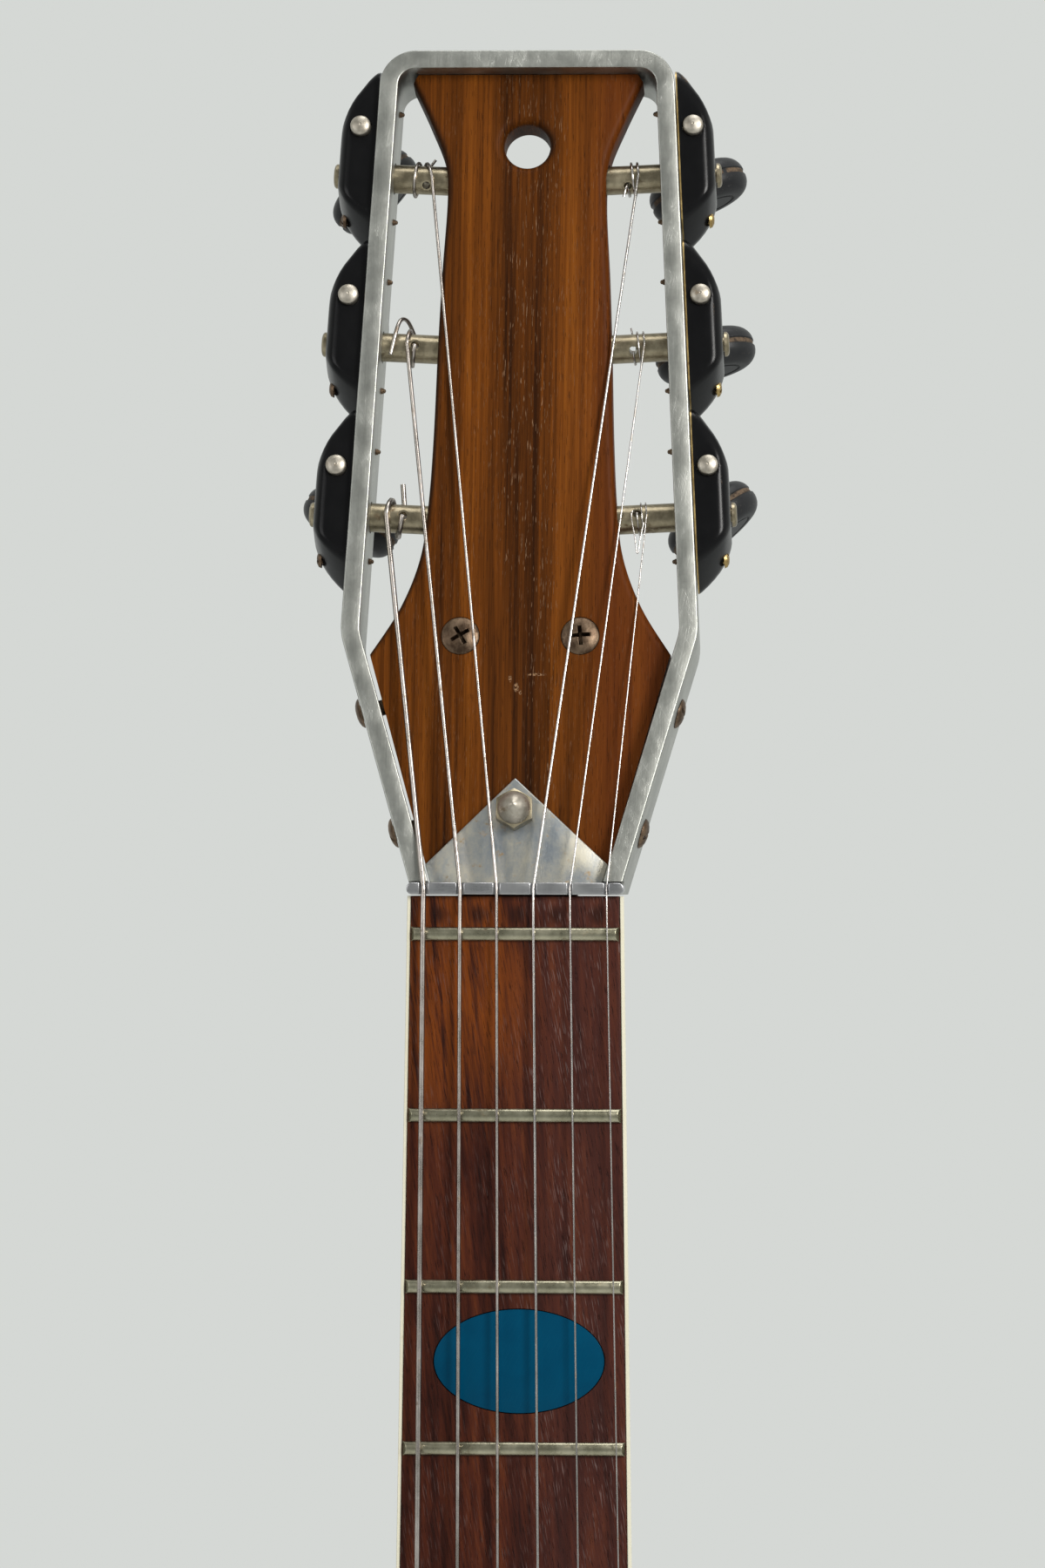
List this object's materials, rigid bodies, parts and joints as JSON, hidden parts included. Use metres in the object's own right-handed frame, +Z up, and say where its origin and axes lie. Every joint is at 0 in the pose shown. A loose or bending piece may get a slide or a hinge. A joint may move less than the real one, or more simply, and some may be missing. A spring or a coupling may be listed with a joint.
{
  "type": "semi-hollow electric guitar",
  "caption": "Thin semi-hollow electric guitar with an open head: a bent alloy strap frames a wooden core and carries worm-geared tuners.",
  "frame": {"origin": "centre of the hole in the head that the guitar hangs from", "axes": "+Z up along the neck towards the head, -Y out of the strings' side, +X towards the treble side"},
  "size_m": [0.382, 0.0984, 1.0025],
  "materials": {
    "brushed_alloy": "satin, scratched",
    "head_wood": "satin",
    "board_wood": "open pored",
    "cream_cover": "semi-gloss",
    "aged_nickel": "aged nickel plate",
    "string_steel": "bright",
    "black_enamel": "gloss enamel",
    "button_black": "gloss",
    "tarnished_screw": "tarnished",
    "blue_inlay": "gloss",
    "body_finish": "gloss lacquer",
    "black_plastic": "satin"
  },
  "bodies": {
    "guitar": {"acorn_nut": "aged_nickel", "body_back": "body_finish", "body_frame": "body_finish", "body_top": "body_finish", "bridge_base": "board_wood", "bridge_pickup": "aged_nickel", "bridge_pickup_ring": "black_plastic", "bridge_saddle": "aged_nickel", "frame_screw_bass_lower": "tarnished_screw", "frame_screw_bass_upper": "tarnished_screw", "frame_screw_treble_lower": "tarnished_screw", "frame_screw_treble_upper": "tarnished_screw", "fretboard": "board_wood", "head_core": "head_wood", "head_frame": "brushed_alloy", "head_screw_bass": "tarnished_screw", "head_screw_treble": "tarnished_screw", "marker_inlay": "blue_inlay", "neck_beam": "brushed_alloy", "neck_cover": "cream_cover", "neck_pickup": "aged_nickel", "neck_pickup_ring": "black_plastic", "nut_plate": "brushed_alloy", "output_jack": "aged_nickel", "strap_button_horn": "aged_nickel", "strap_button_tail": "aged_nickel", "string_1": "string_steel", "string_2": "string_steel", "string_3": "string_steel", "string_4": "string_steel", "string_5": "string_steel", "string_6": "string_steel", "switch_body": "aged_nickel", "tailpiece": "aged_nickel", "tone_pot": "aged_nickel", "tuner_housing_bass_1": "black_enamel", "tuner_housing_bass_2": "black_enamel", "tuner_housing_bass_3": "black_enamel", "tuner_housing_treble_1": "black_enamel", "tuner_housing_treble_2": "black_enamel", "tuner_housing_treble_3": "black_enamel", "volume_pot": "aged_nickel"},
    "switch_lever": {"switch_lever": "cream_cover"},
    "tone_knob": {"tone_knob": "black_plastic"},
    "tuner_key_bass_1": {"tuner_key_bass_1": "button_black"},
    "tuner_key_bass_2": {"tuner_key_bass_2": "button_black"},
    "tuner_key_bass_3": {"tuner_key_bass_3": "button_black"},
    "tuner_key_treble_1": {"tuner_key_treble_1": "button_black"},
    "tuner_key_treble_2": {"tuner_key_treble_2": "button_black"},
    "tuner_key_treble_3": {"tuner_key_treble_3": "button_black"},
    "tuner_post_bass_1": {"tuner_post_bass_1": "aged_nickel"},
    "tuner_post_bass_2": {"tuner_post_bass_2": "aged_nickel"},
    "tuner_post_bass_3": {"tuner_post_bass_3": "aged_nickel"},
    "tuner_post_treble_1": {"tuner_post_treble_1": "aged_nickel"},
    "tuner_post_treble_2": {"tuner_post_treble_2": "aged_nickel"},
    "tuner_post_treble_3": {"tuner_post_treble_3": "aged_nickel"},
    "volume_knob": {"volume_knob": "black_plastic"}
  },
  "joints": [
    {"name": "tuner_key_bass_1_turn", "type": "hinge", "parent": "guitar", "child": "tuner_key_bass_1", "pos_m": [-0.03431, -0.00852, 0.0049], "axis": [0, 0.9744, -0.225], "continuous": true},
    {"name": "tuner_post_bass_1_turn", "type": "hinge", "parent": "guitar", "child": "tuner_post_bass_1", "pos_m": [-0.03134, -0.00169, -0.00556], "axis": [-0.9988, 0.0112, 0.0485], "continuous": true},
    {"name": "tuner_key_bass_2_turn", "type": "hinge", "parent": "guitar", "child": "tuner_key_bass_2", "pos_m": [-0.03612, -0.0167, -0.03057], "axis": [0, 0.9744, -0.225], "continuous": true},
    {"name": "tuner_post_bass_2_turn", "type": "hinge", "parent": "guitar", "child": "tuner_post_bass_2", "pos_m": [-0.03315, -0.00988, -0.04103], "axis": [-0.9988, 0.0112, 0.0485], "continuous": true},
    {"name": "tuner_key_bass_3_turn", "type": "hinge", "parent": "guitar", "child": "tuner_key_bass_3", "pos_m": [-0.03793, -0.02489, -0.06603], "axis": [0, 0.9744, -0.225], "continuous": true},
    {"name": "tuner_post_bass_3_turn", "type": "hinge", "parent": "guitar", "child": "tuner_post_bass_3", "pos_m": [-0.03496, -0.01807, -0.0765], "axis": [-0.9988, 0.0112, 0.0485], "continuous": true},
    {"name": "tuner_key_treble_1_turn", "type": "hinge", "parent": "guitar", "child": "tuner_key_treble_1", "pos_m": [0.03431, -0.00852, 0.0049], "axis": [0, 0.9744, -0.225], "continuous": true},
    {"name": "tuner_post_treble_1_turn", "type": "hinge", "parent": "guitar", "child": "tuner_post_treble_1", "pos_m": [0.03134, -0.00169, -0.00556], "axis": [0.9988, 0.0112, 0.0485], "continuous": true},
    {"name": "tuner_key_treble_2_turn", "type": "hinge", "parent": "guitar", "child": "tuner_key_treble_2", "pos_m": [0.03612, -0.0167, -0.03057], "axis": [0, 0.9744, -0.225], "continuous": true},
    {"name": "tuner_post_treble_2_turn", "type": "hinge", "parent": "guitar", "child": "tuner_post_treble_2", "pos_m": [0.03315, -0.00988, -0.04103], "axis": [0.9988, 0.0112, 0.0485], "continuous": true},
    {"name": "tuner_key_treble_3_turn", "type": "hinge", "parent": "guitar", "child": "tuner_key_treble_3", "pos_m": [0.03793, -0.02489, -0.06603], "axis": [0, 0.9744, -0.225], "continuous": true},
    {"name": "tuner_post_treble_3_turn", "type": "hinge", "parent": "guitar", "child": "tuner_post_treble_3", "pos_m": [0.03496, -0.01807, -0.0765], "axis": [0.9988, 0.0112, 0.0485], "continuous": true},
    {"name": "volume_knob_turn", "type": "hinge", "parent": "guitar", "child": "volume_knob", "pos_m": [0.112, -0.0398, -0.83354], "axis": [0, -1, 0], "range_deg": [-150, 150]},
    {"name": "tone_knob_turn", "type": "hinge", "parent": "guitar", "child": "tone_knob", "pos_m": [0.136, -0.0398, -0.87954], "axis": [0, -1, 0], "range_deg": [-150, 150]},
    {"name": "switch_lever_tilt", "type": "hinge", "parent": "guitar", "child": "switch_lever", "pos_m": [0.104, -0.03856, -0.56554], "axis": [1, 0, 0], "range_deg": [-11, 11]}
  ],
  "couplings": [
    {"joint": "tuner_post_bass_1_turn", "follows": "tuner_key_bass_1_turn", "ratio": 0.071429},
    {"joint": "tuner_post_bass_2_turn", "follows": "tuner_key_bass_2_turn", "ratio": 0.071429},
    {"joint": "tuner_post_bass_3_turn", "follows": "tuner_key_bass_3_turn", "ratio": 0.071429},
    {"joint": "tuner_post_treble_1_turn", "follows": "tuner_key_treble_1_turn", "ratio": 0.071429},
    {"joint": "tuner_post_treble_2_turn", "follows": "tuner_key_treble_2_turn", "ratio": 0.071429},
    {"joint": "tuner_post_treble_3_turn", "follows": "tuner_key_treble_3_turn", "ratio": 0.071429}
  ]
}
